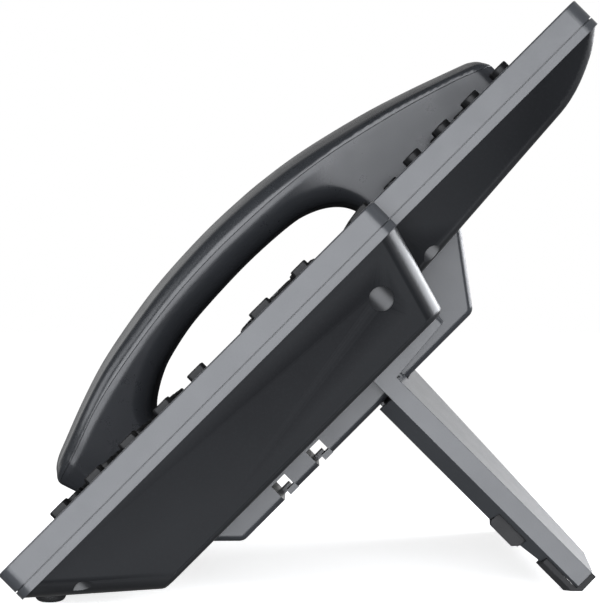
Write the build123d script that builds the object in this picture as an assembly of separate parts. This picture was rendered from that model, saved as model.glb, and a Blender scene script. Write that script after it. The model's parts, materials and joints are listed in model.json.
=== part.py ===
from build123d import *
import math
import os

# Desk IP phone on its detachable rear stand, with the handset in its cradle.
# Every piece is drawn in a flat body frame: X to the user's right, Y up the
# face from its lower edge, Z out of the face, with the face at Z = 0.  All
# are then tilted back by TILT about X and moved so the feet stand on Z = 0.

# ---------------------------------------------------------------- dimensions
TILT = 45.0            # face angle to the desk, degrees
DESK_SUM = -12.0       # in the body frame the desk is the plane y + z = DESK_SUM

# body
HALF_W = 100.0         # half width of the lower deck
STEP_X = 86.2          # right side of the inset upper deck
STEP_Y = 136.0         # where the lower deck ends on the right
LENGTH = 212.0         # length of the face
CORNER_R = 4.5
WALL = 2.2
BEZEL_H = 6.2          # height of the front bezel's side
RIM_Z = -8.85          # back of the rear housing's rim
GROOVE_H = 0.3         # groove between bezel and rim
GROOVE_D = 0.65
TUB_Z = -33.0          # back of the lower tub
PEDESTAL_Z = -41.0     # back of the pedestal
PEDESTAL_HALF = 60.0   # half width of the pedestal
REACH_X = 110.0        # beyond the body on either side

# keys, keypad mat and board
KEY_TOP = 2.0          # keys stand this far out of the face
KEY_GAP = 0.3
KEY_TRAVEL = 0.8
FLANGE_TOP = -2.25
FLANGE_BOTTOM = FLANGE_TOP - 1.0
CAP_BOTTOM = FLANGE_TOP - 0.3      # caps overlap their flanges
MAT_TOP = -4.6
MAT_BOTTOM = -5.45
STUD_R = 1.9
STUD_TOP = FLANGE_BOTTOM - KEY_TRAVEL - 0.05
BOARD_TOP = -5.5
BOARD_BOTTOM = -7.1
BOARD_STEP_X = 81.4    # right edge of mat and board beside the upper deck

MID_X = 15.0           # centre line of display, navigation ring and dial pad
NAV_Y = 101.0
NAV_R = 16.0           # outer radius of the arrow keys
NAV_INNER_R = 7.6
NAV_CENTER_R = 5.8
ARROW_R = 11.8         # pitch radius of the studs under the arrow keys
ARROWS = {"nav_key_right": 0, "nav_key_up": 90, "nav_key_left": 180, "nav_key_down": 270}

# display
DISPLAY_Y = 170.0
OPENING_W, OPENING_H = 88.0, 56.0
REBATE_W, REBATE_H, REBATE_Z = 92.0, 60.0, -1.7
DISPLAY_GAP = 0.8      # total play of window and glass in their openings

# handset, cradle and hook
HANDSET_X = -75.0      # centre line
HANDSET_LOW = 1.9      # its ends in Y
HANDSET_HIGH = 207.2
HANDSET_HALF = 23.0    # half width of its ends
WAIST_HALF = 20.5      # half width of its grip
HANDSET_BOTTOM = -2.15 # underside of its ends, in the cradle wells
HANDSET_REACH = 30.0   # beyond the handset on either side
EAR_Y = 178.0
MOUTH_Y = 20.0
CAPSULE_Z = 1.25       # underside of receiver capsule and microphone
WELL_Z = -2.2
WELLS = [(-99.0, -51.0, 3.4, 43.2), (-99.0, -51.0, 139.2, 206.6)]   # x0, x1, y0, y1
SPEAKER_Y = 98.0
HOOK_Y = 160.0

# slots across the pedestal's back
HOOK_SLOTS = [62.7, 76.2]   # lower walls of the two hook slots
SLOT_W = 5.1
SLOT_Z = -35.7
RAIL_INNER = 34.0      # inner ends of the pedestal's side rails
STAND_SLOT_Y = 104.9   # lower wall of the slot that holds the stand

# x, y, seat of the head
SCREWS = [(66.0, 60.0, -14.0), (-66.0, 60.0, -14.0), (74.0, 200.0, -10.5), (-42.0, 200.0, -10.5)]


# ------------------------------------------------------------------- helpers
def box(x0, x1, y0, y1, z0, z1):
    center = Pos((x0 + x1) / 2, (y0 + y1) / 2, (z0 + z1) / 2)
    return center * Box(x1 - x0, y1 - y0, z1 - z0)


def block(x, y, width, height, z0, z1):
    """Box centred on (x, y)."""
    return Pos(x, y, (z0 + z1) / 2) * Box(width, height, z1 - z0)


def rounded_block(x, y, width, height, radius, z0, z1):
    return Pos(x, y, z0) * extrude(
        RectangleRounded(width, height, radius), z1 - z0, dir=(0, 0, 1))


def rod(x, y, radius, z0, z1):
    return Pos(x, y, (z0 + z1) / 2) * Cylinder(radius, z1 - z0)


def polygon(points):
    return make_face(Polyline(*points, close=True))


def prism_x(points, x0, x1):
    """(y, z) outline extruded from x0 to x1."""
    return extrude(Plane.YZ.offset(x0) * polygon(points), x1 - x0, dir=(1, 0, 0))


def prism_y(points, y0, y1):
    """(x, z) outline extruded from y0 to y1."""
    plane = Plane(origin=(0, y0, 0), x_dir=(1, 0, 0), z_dir=(0, -1, 0))
    return extrude(plane * polygon(points), y1 - y0, dir=(0, 1, 0))


def prism_z(points, z0, z1):
    """(x, y) outline extruded from z0 to z1."""
    return extrude(Plane.XY.offset(z0) * polygon(points), z1 - z0, dir=(0, 0, 1))


def side_extrusion(edges, x, half):
    """Outline of (y, z) edges extruded by half to either side of x."""
    return Pos(x - half, 0, 0) * extrude(
        Plane.YZ * make_face(edges), 2 * half, dir=(1, 0, 0))


def span(side, inner, outer):
    """Ascending x range between two distances from the centre, on side -1 or 1."""
    return sorted((side * inner, side * outer))


def one(shape):
    """The largest solid of a result."""
    return max(shape.solids(), key=lambda solid: solid.volume)


def fuse(shapes):
    result = shapes[0]
    for shape in shapes[1:]:
        result = result + shape
    return result


def top_edges(shape):
    return shape.edges().group_by(Axis.Z)[-1]


def try_round(solid, edges, radii):
    """Fillet with the first radius that works, or leave the solid as it is."""
    for radius in radii:
        # guards against radii or edge sets that the kernel cannot fillet
        try:
            rounded = one(fillet(edges, radius))
            if rounded.is_valid and rounded.volume > 0.5 * solid.volume:
                return rounded
        except Exception:
            pass
    return solid


def deck(inset, radius, z0, z1):
    """The body's plan: wide lower deck, upper deck inset on the right."""
    left, right, step_x = -HALF_W + inset, HALF_W - inset, STEP_X - inset
    low, step_y, high = inset, STEP_Y - inset, LENGTH - inset
    face = polygon([(left, low), (right, low), (right, step_y),
                    (step_x, step_y), (step_x, high), (left, high)])
    convex = [v for v in face.vertices()
              if not (abs(v.X - step_x) < 0.01 and abs(v.Y - step_y) < 0.01)]
    face = fillet(convex, radius)
    return Pos(0, 0, z0) * extrude(face, z1 - z0, dir=(0, 0, 1))


def ring_sector(inner_r, outer_r, z0, z1, half_gap, angle):
    """Quarter of a ring round the navigation centre, its sides half_gap off
    the diagonals."""
    ring = rod(0, 0, outer_r, z0, z1) - rod(0, 0, inner_r, z0 - 1, z1 + 1)
    tip = half_gap * math.sqrt(2)
    wedge = prism_z([(tip, 0), (tip + 40, 40), (tip + 40, -40)], z0 - 1, z1 + 1)
    return Pos(MID_X, NAV_Y, 0) * (Rot(0, 0, angle) * one(ring & wedge))


# ----------------------------------------------------------------------- keys
def key_layout():
    """name: (x, y, width, height, corner radius)"""
    keys = {}
    line_dx = 57.4
    for i, y in enumerate([153.3, 164.3, 175.3, 186.3]):
        for name, side in (("left", -1), ("right", 1)):
            keys[f"line_key_{name}_{4 - i}"] = (MID_X + side * line_dx, y, 9.0, 5.3, 2.6)
    soft_pitch = 22.0
    for i in range(4):
        keys[f"softkey_{i + 1}"] = (MID_X + (i - 1.5) * soft_pitch, 133.4, 13.0, 7.6, 1.2)
    dial_pitch = 17.5
    dial_rows = [(18.1, ("star", "0", "hash")), (31.0, ("7", "8", "9")),
                 (43.9, ("4", "5", "6")), (56.8, ("1", "2", "3"))]
    for y, names in dial_rows:
        for col, name in enumerate(names):
            keys["dial_key_" + name] = (MID_X + (col - 1) * dial_pitch, y, 10.0, 5.6, 2.5)
    # right-hand column: y, height
    function_keys = [(21.5, 5.4), (34.1, 5.4), (46.8, 5.4), (59.5, 5.4), (72.2, 5.4),
                     (95.8, 6.8), (110.5, 5.2)]
    for i, (y, height) in enumerate(function_keys):
        keys[f"function_key_{i + 1}"] = (84.1, y, 7.0, height, 1.0)
    nav_side_dx = 28
    for name, side in (("right", 1), ("left", -1)):
        for level, y in (("lower", 95.8), ("upper", 109.9)):
            keys[f"nav_side_key_{name}_{level}"] = (
                MID_X + side * nav_side_dx, y, 10.0, 5.4, 2.4)
    return keys


KEYS = key_layout()


def make_key(name):
    x, y, width, height, radius = KEYS[name]
    cap = rounded_block(x, y, width, height, radius, CAP_BOTTOM, KEY_TOP)
    if name.startswith("softkey"):
        # sloped top, lower at the edge nearest the user
        crest = y + height / 2 - 2.2
        slope = [(y - height, 3.0), (crest, 3.0), (crest, KEY_TOP),
                 (y - height / 2, 1.15), (y - height, 1.0)]
        cap = one(cap - prism_x(slope, x - width, x + width))
        cap = chamfer([e for e in cap.edges() if e.center().Z > 1.0], 0.3)
    else:
        cap = fillet(top_edges(cap), 0.45)
    flange = rounded_block(x, y, width + 2.0, height + 2.0, radius + 0.6,
                           FLANGE_BOTTOM, FLANGE_TOP)
    return one(cap + flange)


def make_arrow_key(angle):
    """Quarter of a low dome that falls towards its rim."""
    # (radius, z)
    profile = [(0, -6), (0, 1.9), (9, 1.75), (14.6, 1.5), (15.6, 1.1), (NAV_R, 0.5), (NAV_R, -6)]
    dome = Pos(MID_X, NAV_Y, 0) * revolve(Plane.XZ * polygon(profile), Axis.Z)
    cap = ring_sector(NAV_INNER_R, NAV_R, CAP_BOTTOM, 3, 0.85, angle) & dome
    flange = ring_sector(NAV_INNER_R - 0.6, NAV_R + 1.2, FLANGE_BOTTOM, FLANGE_TOP, 0.3, angle)
    return one(one(cap) + flange)


def make_center_key():
    cap = rod(MID_X, NAV_Y, NAV_CENTER_R, CAP_BOTTOM, 1.95)
    cap = fillet(top_edges(cap), 0.5)
    return one(cap + rod(MID_X, NAV_Y, 6.5, FLANGE_BOTTOM, FLANGE_TOP))


# -------------------------------------------------------------------- handset
# Side curves as (y, z) points: outer curve, parting line and inner curve
OUTER_CURVE = [
    (1.9, 9.9), (6.9, 16.0), (13.2, 18.2), (24.6, 22.6), (41.7, 27.9), (58.9, 31.3),
    (76.0, 33.4), (97.7, 34.07), (116.0, 33.5), (127.5, 32.4), (138.9, 30.7),
    (156.0, 27.5), (173.2, 23.1), (184.6, 19.2), (196.0, 15.0), (202.9, 12.0), (206.7, 7.6)]
SEAM_CURVE = [
    (1.9, 8.6), (8.0, 9.2), (14.7, 10.6), (26.0, 14.2), (37.2, 17.3), (48.4, 20.0),
    (59.7, 22.3), (70.9, 23.8), (82.1, 24.8), (97.9, 25.2), (115.8, 24.6), (127.1, 23.8),
    (149.5, 22.3), (160.8, 20.0), (172.0, 17.3), (183.2, 14.2), (194.5, 10.4),
    (202.1, 7.0), (207.2, 5.2)]
INNER_CURVE = [
    (40.2, 0.5), (42.3, 4.6), (46.4, 7.9), (52.2, 11.2), (58.0, 13.4), (69.7, 16.0),
    (81.3, 17.1), (97.6, 17.7), (110.4, 17.4), (122.1, 16.4), (127.9, 15.05),
    (133.7, 12.4), (138.4, 8.6), (141.3, 3.9), (142.2, 0.5)]
# Outline of the inner space: along the outer shell, then back along the floor
HOLLOW = [
    (14, 13.0), (24.6, 19.4), (41.7, 24.6), (58.9, 28.2), (76, 30.2), (97.7, 30.8),
    (116, 30.2), (138.9, 27.2), (156, 24.0), (173.2, 19.6), (184.6, 15.6), (196, 11.2),
    (196, 1.2), (150, 1.2), (147, 8.0), (141, 13.5), (134, 17.3), (126, 19.5),
    (110, 20.3), (97.6, 20.6), (82, 20.0), (69.7, 19.0), (56, 16.4), (46, 12.4),
    (37.5, 6.5), (36.5, 1.2), (14, 1.2)]
SEAM_GAP = 0.06


def handset_plan(inset):
    """Prism of the handset's plan: broad rounded ends and a slimmer grip."""
    end, waist = HANDSET_HALF - inset, WAIST_HALF - inset
    low, high = HANDSET_LOW + inset, HANDSET_HIGH - inset
    right = Spline((end - 1.2, low + 9), (end, 26), (waist, 75), (waist, 120),
                   (end, 176), (end - 1.0, high - 9))
    left = Spline((-end + 1.0, high - 9), (-end, 176), (-waist, 120), (-waist, 75),
                  (-end, 26), (-end + 1.2, low + 9))
    top = Spline((end - 1.0, high - 9), (end - 3.2, high - 3.2), (end - 9, high - 0.5),
                 (0, high), (-end + 9, high - 0.5), (-end + 3.2, high - 3.2),
                 (-end + 1.0, high - 9))
    bottom = Spline((-end + 1.2, low + 9), (-end + 3.4, low + 3.2), (-end + 9, low + 0.5),
                    (0, low), (end - 9, low + 0.5), (end - 3.4, low + 3.2),
                    (end - 1.2, low + 9))
    face = make_face([right, top, left, bottom])
    return Pos(HANDSET_X, 0, -8) * extrude(face, 50, dir=(0, 0, 1))


def handset_blank(edges):
    return one(side_extrusion(edges, HANDSET_X, HANDSET_REACH) & handset_plan(0.0))


def handset_hollow():
    hollow = prism_x(HOLLOW, HANDSET_X - HANDSET_REACH, HANDSET_X + HANDSET_REACH)
    return hollow & handset_plan(4.6)


def curve_at(points, y):
    """z of the polyline at y, held level beyond its ends."""
    for (y0, z0), (y1, z1) in zip(points, points[1:]):
        if y0 <= y <= y1:
            return z0 + (z1 - z0) * (y - y0) / (y1 - y0)
    return points[0][1] if y < points[0][0] else points[-1][1]


def flank_edges(solid, y0, y1, points):
    """Edges that run along the given side curve on the handset's flanks."""
    found = []
    for edge in solid.edges():
        middle = edge @ 0.5
        if abs(middle.X - HANDSET_X) < 12 or not y0 < middle.Y < y1:
            continue
        if abs(middle.Z - curve_at(points, middle.Y)) < 1.2 and edge.length > 8:
            found.append(edge)
    return found


def make_handset_top():
    shell = handset_blank([Spline(*OUTER_CURVE), Line(OUTER_CURVE[-1], SEAM_CURVE[-1]),
                           Spline(*SEAM_CURVE), Line(SEAM_CURVE[0], OUTER_CURVE[0])])
    shell = try_round(shell, flank_edges(shell, 5, 205, OUTER_CURVE), [4.0, 3.0, 2.0, 1.2])
    return one(shell - handset_hollow())


def make_handset_bottom():
    seam = [(y, z - SEAM_GAP) for y, z in SEAM_CURVE]
    # straight runs at either end of the inner curve
    high_end = [seam[-1], (207.0, 1.5), (204.0, HANDSET_BOTTOM), (142.4, HANDSET_BOTTOM),
                INNER_CURVE[-1]]
    low_end = [INNER_CURVE[0], (39.6, HANDSET_BOTTOM), (6.6, HANDSET_BOTTOM), seam[0]]
    shell = handset_blank([Spline(*seam)]
                          + [Line(a, b) for a, b in zip(high_end, high_end[1:])]
                          + [Spline(*reversed(INNER_CURVE))]
                          + [Line(a, b) for a, b in zip(low_end, low_end[1:])])
    shell = try_round(shell, flank_edges(shell, 38, 145, INNER_CURVE),
                      [5.5, 4.0, 3.0, 2.0, 1.0])
    shell = one(shell - handset_hollow())
    # sound slots in the earpiece and mouthpiece floors
    for k in range(-2, 3):
        shell = shell - rounded_block(HANDSET_X + 3.2 * k, EAR_Y, 1.2, 11 - abs(k) * 2,
                                      0.5, -4, 2)
    for k in range(-1, 2):
        shell = shell - rounded_block(HANDSET_X + 4 * k, MOUTH_Y, 1.2, 6, 0.5, -4, 2)
    return one(shell)


def make_receiver():
    return one(rod(HANDSET_X, EAR_Y, 15.0, CAPSULE_Z, 3.4)
               + rod(HANDSET_X, EAR_Y, 11.0, 3.4, 7.4))


def make_microphone():
    return one(rod(HANDSET_X, MOUTH_Y, 4.8, CAPSULE_Z, 4.0)
               + block(HANDSET_X, MOUTH_Y, 4, 2, 4.0, 5.0))


# --------------------------------------------------------------- front bezel
def make_bezel():
    bezel = deck(0, CORNER_R, -BEZEL_H, 0)
    bezel = fillet(top_edges(bezel), 0.5)
    bezel = bezel - deck(WALL, 2.5, -BEZEL_H - 1, -WALL)
    # cradle wells, with thicker floors under the handset's two ends
    for x0, x1, y0, y1 in WELLS:
        bezel = bezel + box(x0 + 1.2, x1 + 2.0, y0 - 1.2, y1 + 2.0, -4.4, -1.9)
    for x0, x1, y0, y1 in WELLS:
        bezel = bezel - rounded_block((x0 + x1) / 2, (y0 + y1) / 2, x1 - x0, y1 - y0, 5.0,
                                      WELL_Z, 1)
    # key openings
    for x, y, width, height, radius in KEYS.values():
        bezel = bezel - rounded_block(x, y, width + 2 * KEY_GAP, height + 2 * KEY_GAP,
                                      radius + KEY_GAP, -4, 1)
    for angle in ARROWS.values():
        bezel = bezel - ring_sector(NAV_INNER_R - KEY_GAP, NAV_R + KEY_GAP, -4, 1, 0.5, angle)
    bezel = bezel - rod(MID_X, NAV_Y, NAV_CENTER_R + KEY_GAP, -4, 1)
    # display opening with a rebate for the window
    bezel = bezel - block(MID_X, DISPLAY_Y, OPENING_W, OPENING_H, -4, 1)
    bezel = bezel - rounded_block(MID_X, DISPLAY_Y, REBATE_W, REBATE_H, 2.0, REBATE_Z, 1)
    # loudspeaker slots under the handset's arch
    for k in range(-4, 5):
        bezel = bezel - rounded_block(HANDSET_X, SPEAKER_Y + 3.75 * k, 27.0, 1.6, 0.78, -4, 1)
    # hook plunger opening
    bezel = bezel - block(HANDSET_X, HOOK_Y, 8.5, 5.5, -6, 1)
    # ring round the loudspeaker
    bezel = bezel + (rod(HANDSET_X, SPEAKER_Y, 20.6, -5.2, -2.0)
                     - rod(HANDSET_X, SPEAKER_Y, 19.3, -6, 0))
    # screw bosses
    for x, y, _ in SCREWS:
        bezel = bezel + rod(x, y, 3.2, -6.9, -2.0)
    for x, y, _ in SCREWS:
        bezel = bezel - rod(x, y, 1.45, -8.0, -2.6)
    return one(bezel)


# ------------------------------------------------- display, mat, board, speaker
def make_window():
    play = DISPLAY_GAP / 2
    return rounded_block(MID_X, DISPLAY_Y, REBATE_W - play, REBATE_H - play, 1.8,
                         REBATE_Z, -0.2)


def make_lcd():
    body = box(MID_X - 47, MID_X + 47, 139.4, 201, -8.0, -2.25)
    return one(body + block(MID_X, DISPLAY_Y, OPENING_W - DISPLAY_GAP,
                            OPENING_H - DISPLAY_GAP, -2.3, -1.75))


def board_shape(z0, z1, grow):
    """Plate under the keys with an arm on each side of the display."""
    display_half = 48.6
    left = -49 - grow
    plate = box(left, 93 + grow, 9 - grow, 138.6, z0, z1)
    plate = plate - box(BOARD_STEP_X, 120, 132.5, 150, z0 - 1, z1 + 1)
    plate = plate + box(left, MID_X - display_half, 136, 193.6, z0, z1)
    plate = plate + box(MID_X + display_half, BOARD_STEP_X, 132, 193.6, z0, z1)
    # clearance round the one screw pillar that passes through
    x, y, _ = SCREWS[0]
    return plate - rod(x, y, 6.2, z0 - 1, z1 + 1)


def make_mat():
    """Mat with a stud under every key."""
    studs = [(x, y) for x, y, *_ in KEYS.values()]
    for angle in ARROWS.values():
        studs.append((MID_X + ARROW_R * math.cos(math.radians(angle)),
                      NAV_Y + ARROW_R * math.sin(math.radians(angle))))
    studs.append((MID_X, NAV_Y))
    mat = board_shape(MAT_BOTTOM, MAT_TOP, 0)
    for x, y in studs:
        mat = mat + rod(x, y, STUD_R, MAT_TOP - 0.2, STUD_TOP)
    return one(mat)


def make_board():
    # components on the back: x, y, width, height, thickness
    components = [(20, 60, 18, 18, 1.6), (-20, 80, 14, 10, 1.3), (48, 100, 12, 12, 1.4),
                  (-28, 30, 9, 14, 2.2), (0, 110, 10, 7, 1.2), (74, 30, 8, 16, 3.0)]
    board = board_shape(BOARD_BOTTOM, BOARD_TOP, 0.8)
    for x, y, width, height, thickness in components:
        board = board + block(x, y, width, height, BOARD_BOTTOM - thickness,
                              BOARD_BOTTOM + 0.2)
    return one(board)


def make_loudspeaker():
    # radius, z0, z1
    stages = [(19.0, -4.6, -2.7), (13.5, -10.5, -4.6), (10.0, -15, -10.5)]
    return one(fuse([rod(HANDSET_X, SPEAKER_Y, *stage) for stage in stages]))


# --------------------------------------------------------------- rear housing
def cross_section(rim_left, back_left, back_right, rim_right, back_z):
    """Tapered (x, z) section from the rim to back_z, longer than the body."""
    return prism_y([(rim_left, RIM_Z), (back_left, back_z), (back_right, back_z),
                    (rim_right, RIM_Z)], -5, 220)


def housing_rim():
    groove_z = -BEZEL_H - GROOVE_H
    return deck(0, CORNER_R, RIM_Z, groove_z) + deck(
        GROOVE_D, CORNER_R - GROOVE_D, groove_z, -BEZEL_H)


def housing_tub():
    tub = one(prism_x([(0.4, RIM_Z), (27.0, TUB_Z), (129.0, TUB_Z), (135.7, RIM_Z)],
                      -REACH_X, REACH_X)
              & cross_section(-99.6, -95.4, 95.4, 99.6, TUB_Z))
    tub = one(fillet([e for e in tub.edges() if 20 < e.length < 40], 6.0))
    back = [e for e in tub.edges() if abs((e @ 0.5).Z - TUB_Z) < 0.05]
    return one(fillet(back, 1.8))


def housing_upper():
    """Shallower shell behind the upper deck."""
    edges = [Line((128, RIM_Z), (128, -22.7)), Line((128, -22.7), (149.3, -21.3)),
             Line((149.3, -21.3), (188.6, -18.6)),
             Spline((188.6, -18.6), (195.6, -17.2), (202.3, -14.5), (205.8, -12.6),
                    (209.2, -10.1), (210.8, RIM_Z)),
             Line((210.8, RIM_Z), (128, RIM_Z))]
    upper = one(side_extrusion(edges, 0, REACH_X)
                & cross_section(-99.6, -97.4, 83.8, 85.8, -22.8))
    sides = [e for e in upper.edges()
             if abs((e @ 0.5).X) > 80 and e.length > 15
             and (e @ 0.5).Z < RIM_Z - 0.5 and (e @ 0.5).Y > 135]
    return try_round(upper, sides, [2.5, 1.8, 1.2])


def is_pedestal_side_edge(edge):
    """On a side face, along the back or along a slanted end wall."""
    middle, start, end = edge @ 0.5, edge @ 0, edge @ 1
    if abs(abs(middle.X) - PEDESTAL_HALF) >= 0.05:
        return False
    slanted = abs(start.Y - end.Y) > 3 and abs(start.Z - end.Z) > 3
    return middle.Z < PEDESTAL_Z + 0.05 or (middle.Z < -25 and edge.length > 8 and slanted)


def housing_pedestal():
    pedestal = prism_x([(37.0, -31.5), (46.6, PEDESTAL_Z), (136.4, PEDESTAL_Z),
                        (151.5, -20.8), (151.5, -19.5), (125, -19.5), (125, -31.5)],
                       -PEDESTAL_HALF, PEDESTAL_HALF)
    sides = [e for e in pedestal.edges() if is_pedestal_side_edge(e)]
    pedestal = try_round(pedestal, sides, [1.9, 1.2, 0.8])
    back = [e for e in pedestal.edges()
            if abs((e @ 0.5).Z - PEDESTAL_Z) < 0.3 and abs((e @ 0.5).X) < 5]
    return try_round(pedestal, back, [3.0, 1.5])


def housing_cavities():
    tub_z = TUB_Z + WALL
    pedestal_z = PEDESTAL_Z + WALL
    rim_z = RIM_Z - 0.1
    tub = prism_x([(3.65, rim_z), (27.8, tub_z), (127.3, tub_z), (133.3, rim_z)],
                  -REACH_X, REACH_X) & cross_section(-97.3, -93.3, 93.3, 97.3, tub_z)
    upper = prism_x([(124, rim_z), (124, -20.2), (149.3, -19.0), (188.0, -16.3),
                     (194.6, -15.2), (199.5, -13.3), (204.5, -10.6), (206.6, rim_z)],
                    -REACH_X, REACH_X) & cross_section(-97.3, -95.2, 81.6, 83.4, -20.3)
    rim = deck(WALL + 0.4, 2.5, RIM_Z - 0.2, 0)
    pedestal = prism_x([(127.6, -12), (127.6, pedestal_z), (135.2, pedestal_z),
                        (148.4, -21.0), (148.4, -12)],
                       -PEDESTAL_HALF + WALL, PEDESTAL_HALF - WALL)
    # pockets in the pedestal between its slots
    pockets = [box(-57.6, 57.6, y0, y1, pedestal_z, -25)
               for y0, y1 in [(49, 54.6), (84, 102.5), (112.5, 125.4)]]
    return [tub, upper, rim, pedestal] + pockets


def cut_slots(housing):
    """Open slots across the pedestal's back, with lips flush with the back."""
    across = PEDESTAL_HALF + 1
    below = PEDESTAL_Z - 1
    # hook slots through both side rails, with a wider relief between the rails
    for y in HOOK_SLOTS:
        housing = housing - box(-across, across, y, y + SLOT_W, below, SLOT_Z)
        housing = housing - box(-RAIL_INNER, RAIL_INNER, y - 5.6, y + SLOT_W, below, SLOT_Z)
    # staggered lips: upper wall at the side face, lower wall at the rail's inner end
    for y in HOOK_SLOTS:
        for side in (-1, 1):
            housing = housing + box(*span(side, 55.0, PEDESTAL_HALF),
                                    y + 2.35, y + SLOT_W + 0.3, PEDESTAL_Z, -39.35)
            housing = housing + box(*span(side, RAIL_INNER, 40.0),
                                    y - 0.3, y + 2.75, PEDESTAL_Z, -39.5)
    # slot that holds the stand, lipped along its upper wall
    y = STAND_SLOT_Y
    housing = housing - box(-across, across, y, y + 5.3, below, -35.5)
    for side in (-1, 1):
        housing = housing + box(*span(side, 48.0, PEDESTAL_HALF),
                                y + 2.2, y + 5.6, PEDESTAL_Z, -39.4)
    return housing


def add_supports(housing, outer):
    """Screw pillars and board supports, kept within the outer shape."""
    for x, y, _ in SCREWS:
        housing = housing + (rod(x, y, 5.0, -34, -6.95) & outer)
    for x, y, seat in SCREWS:
        housing = housing - rod(x, y, 3.3, -45, seat) - rod(x, y, 1.6, -45, -5)
    for x, y in [(-40, 14), (54, 14), (-40, 128), (30, 80), (86, 125), (-20, 50)]:
        housing = housing + (block(x, y, 4, 4, -32, BOARD_BOTTOM - 0.05) & outer)
    return housing


def side_scoop(side, wall_x, y, z):
    """Round shallow recess in a side wall, its floor curved about Z."""
    disc = Pos(side * wall_x, y, z) * (Rot(0, 90, 0) * Cylinder(3.2, 12))
    return disc & rod(side * (wall_x + 3.9), y, 5.2, z - 8, z + 8)


# side, wall x, y, z
SCOOPS = [(1, 97.8, 119.7, -19.3), (1, 97.9, 12.8, -19.0), (1, 84.3, 138.1, -22.2),
          (-1, 97.8, 119.7, -19.3), (-1, 97.9, 12.8, -19.0)]

# The pedestal's upper slanted wall, with the network sockets
SLANT = math.atan2(19.0, 14.2)
SLANT_NORMAL = (0, math.sin(SLANT), -math.cos(SLANT))   # outward
SLANT_Y, SLANT_Z = 143.6, -31.4                         # a point on the wall
NETWORK_XS = (-14.0, 14.0)

# Handset and headset sockets in the left side wall
SOCKET_YS = (88.0, 104.0)
SOCKET_X = -92.4       # outer face of the sockets
SOCKET_BOTTOM = -27.3


def slant_box(x, width, height, depth0, depth1):
    """Box square to the slanted wall, from depth0 to depth1 below its face."""
    plane = Plane(origin=(x, SLANT_Y, SLANT_Z), x_dir=(1, 0, 0), z_dir=SLANT_NORMAL)
    return plane * (Pos(0, 0, -(depth0 + depth1) / 2) * Box(width, height, depth1 - depth0))


def make_network_jacks():
    return [one(slant_box(x, 16.5, 14.0, 2.5, 14.0) - slant_box(x, 11.8, 7.2, 2.0, 11.0))
            for x in NETWORK_XS]


def make_handset_jacks():
    return [one(box(SOCKET_X, -80, y - 6.2, y + 6.2, SOCKET_BOTTOM, -15.2)
                - box(-93, -83, y - 3.9, y + 3.9, -24.5, -17.5))
            for y in SOCKET_YS]


# Front feet, round and square to the desk
FOOT_X, FOOT_Y, FOOT_R = 84.0, 4.3, 4.1


def desk_rod(x, radius, height0, height1):
    """Cylinder square to the desk, from height0 to height1 above it."""
    wall_z = RIM_Z - 0.9056 * (FOOT_Y - 0.3)   # on the tub's lower slanted wall
    drop = (FOOT_Y + wall_z - DESK_SUM) / 2
    up = (0, math.sin(math.radians(TILT)), math.cos(math.radians(TILT)))
    plane = Plane(origin=(x, FOOT_Y - drop, wall_z - drop), x_dir=(1, 0, 0), z_dir=up)
    return plane * (Pos(0, 0, (height0 + height1) / 2) * Cylinder(radius, height1 - height0))


def make_front_feet():
    feet = []
    for side in (-1, 1):
        foot = desk_rod(side * FOOT_X, FOOT_R, 0, 3.55)
        desk_edge = min(foot.edges(), key=lambda e: (e @ 0.5).Y + (e @ 0.5).Z)
        feet.append(one(fillet([desk_edge], 1.8)))
    return feet


def make_housing():
    outer = housing_rim() + housing_tub() + housing_upper() + housing_pedestal()
    housing = outer
    for cavity in housing_cavities():
        housing = housing - cavity
    housing = cut_slots(housing)
    housing = add_supports(housing, outer)
    for scoop in SCOOPS:
        housing = housing - side_scoop(*scoop)
    for x in NETWORK_XS:
        housing = housing - slant_box(x, 13.6, 11.8, -3, 6)
    # side socket openings, each with a ledge under its socket
    for y in SOCKET_YS:
        housing = housing - box(-104, -90, y - 5.2, y + 5.2, -25.5, -16.5)
        housing = housing + box(-92.5, -80, y - 6, y + 6, -32, SOCKET_BOTTOM - 0.05)
    housing = housing - box(-96.0, SOCKET_X - 0.05, 81, 111, SOCKET_BOTTOM, -15.0)
    # seat for the hook switch
    housing = housing + block(HANDSET_X, HOOK_Y, 12, 8, -20, -17.95)
    # recesses for the front feet
    for side in (-1, 1):
        housing = housing - desk_rod(side * FOOT_X, FOOT_R + 0.05, -1, 3.6)
    return one(housing)


# ------------------------------------------------------------ hook and screws
def make_hook_plunger():
    plunger = block(HANDSET_X, HOOK_Y, 8, 5, -12.0, -2.2)
    plunger = fillet(top_edges(plunger), 0.5)
    return one(plunger + block(HANDSET_X, HOOK_Y, 12, 8, -9.2, -8.2))


def make_hook_switch():
    return one(block(HANDSET_X, HOOK_Y, 11, 7, -17.9, -13.4)
               + block(HANDSET_X, HOOK_Y, 3, 2, -13.4, -12.05))


def make_screw(x, y, seat):
    screw = rod(x, y, 2.9, seat - 2.05, seat - 0.05) + rod(x, y, 1.38, seat - 0.05, -2.8)
    # cross recess
    screw = screw - block(x, y, 3.8, 0.8, seat - 3, seat - 1.2)
    screw = screw - block(x, y, 0.8, 3.8, seat - 3, seat - 1.2)
    return one(screw)


# ---------------------------------------------------------------------- stand
LEG_Y0, LEG_Y1 = 103.3, 108.5
LEG_OUTER = 68.0       # half width over the two legs
LEG_INNER = 60.4
LEG_END = -113.35      # far end of the legs
# the panel's two ends: y of its back, half width of its flat, thickness, z
PANEL_ENDS = [(114.0, 46.0, 2.4, -38.7), (110.9, 58.0, 2.2, LEG_END)]
UNDER_GAP = 0.9        # ribs reach this far below the panel's back surface
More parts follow.
